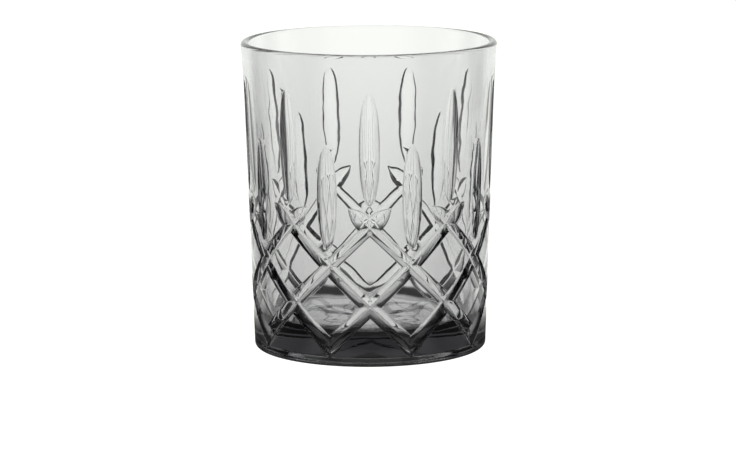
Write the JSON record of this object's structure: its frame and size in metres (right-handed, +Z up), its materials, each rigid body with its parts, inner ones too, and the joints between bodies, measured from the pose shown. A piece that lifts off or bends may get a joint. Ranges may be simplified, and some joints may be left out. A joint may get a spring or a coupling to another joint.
{
  "type": "whiskey tumbler",
  "caption": "Straight-sided smoke-grey pressed-glass tumbler with upright olive cuts over a diagonal diamond lattice, a rounded lip and a thick dark base.",
  "frame": {"origin": "centre of the face the tumbler stands on", "axes": "+Z up along the glass's axis; a long olive of the cut pattern faces -Y, the front"},
  "size_m": [0.0812, 0.0812, 0.098],
  "materials": {
    "smoke_glass": "fire-polished, clear smoke grey"
  },
  "bodies": {
    "root": {"tumbler": "smoke_glass"}
  },
  "joints": []
}
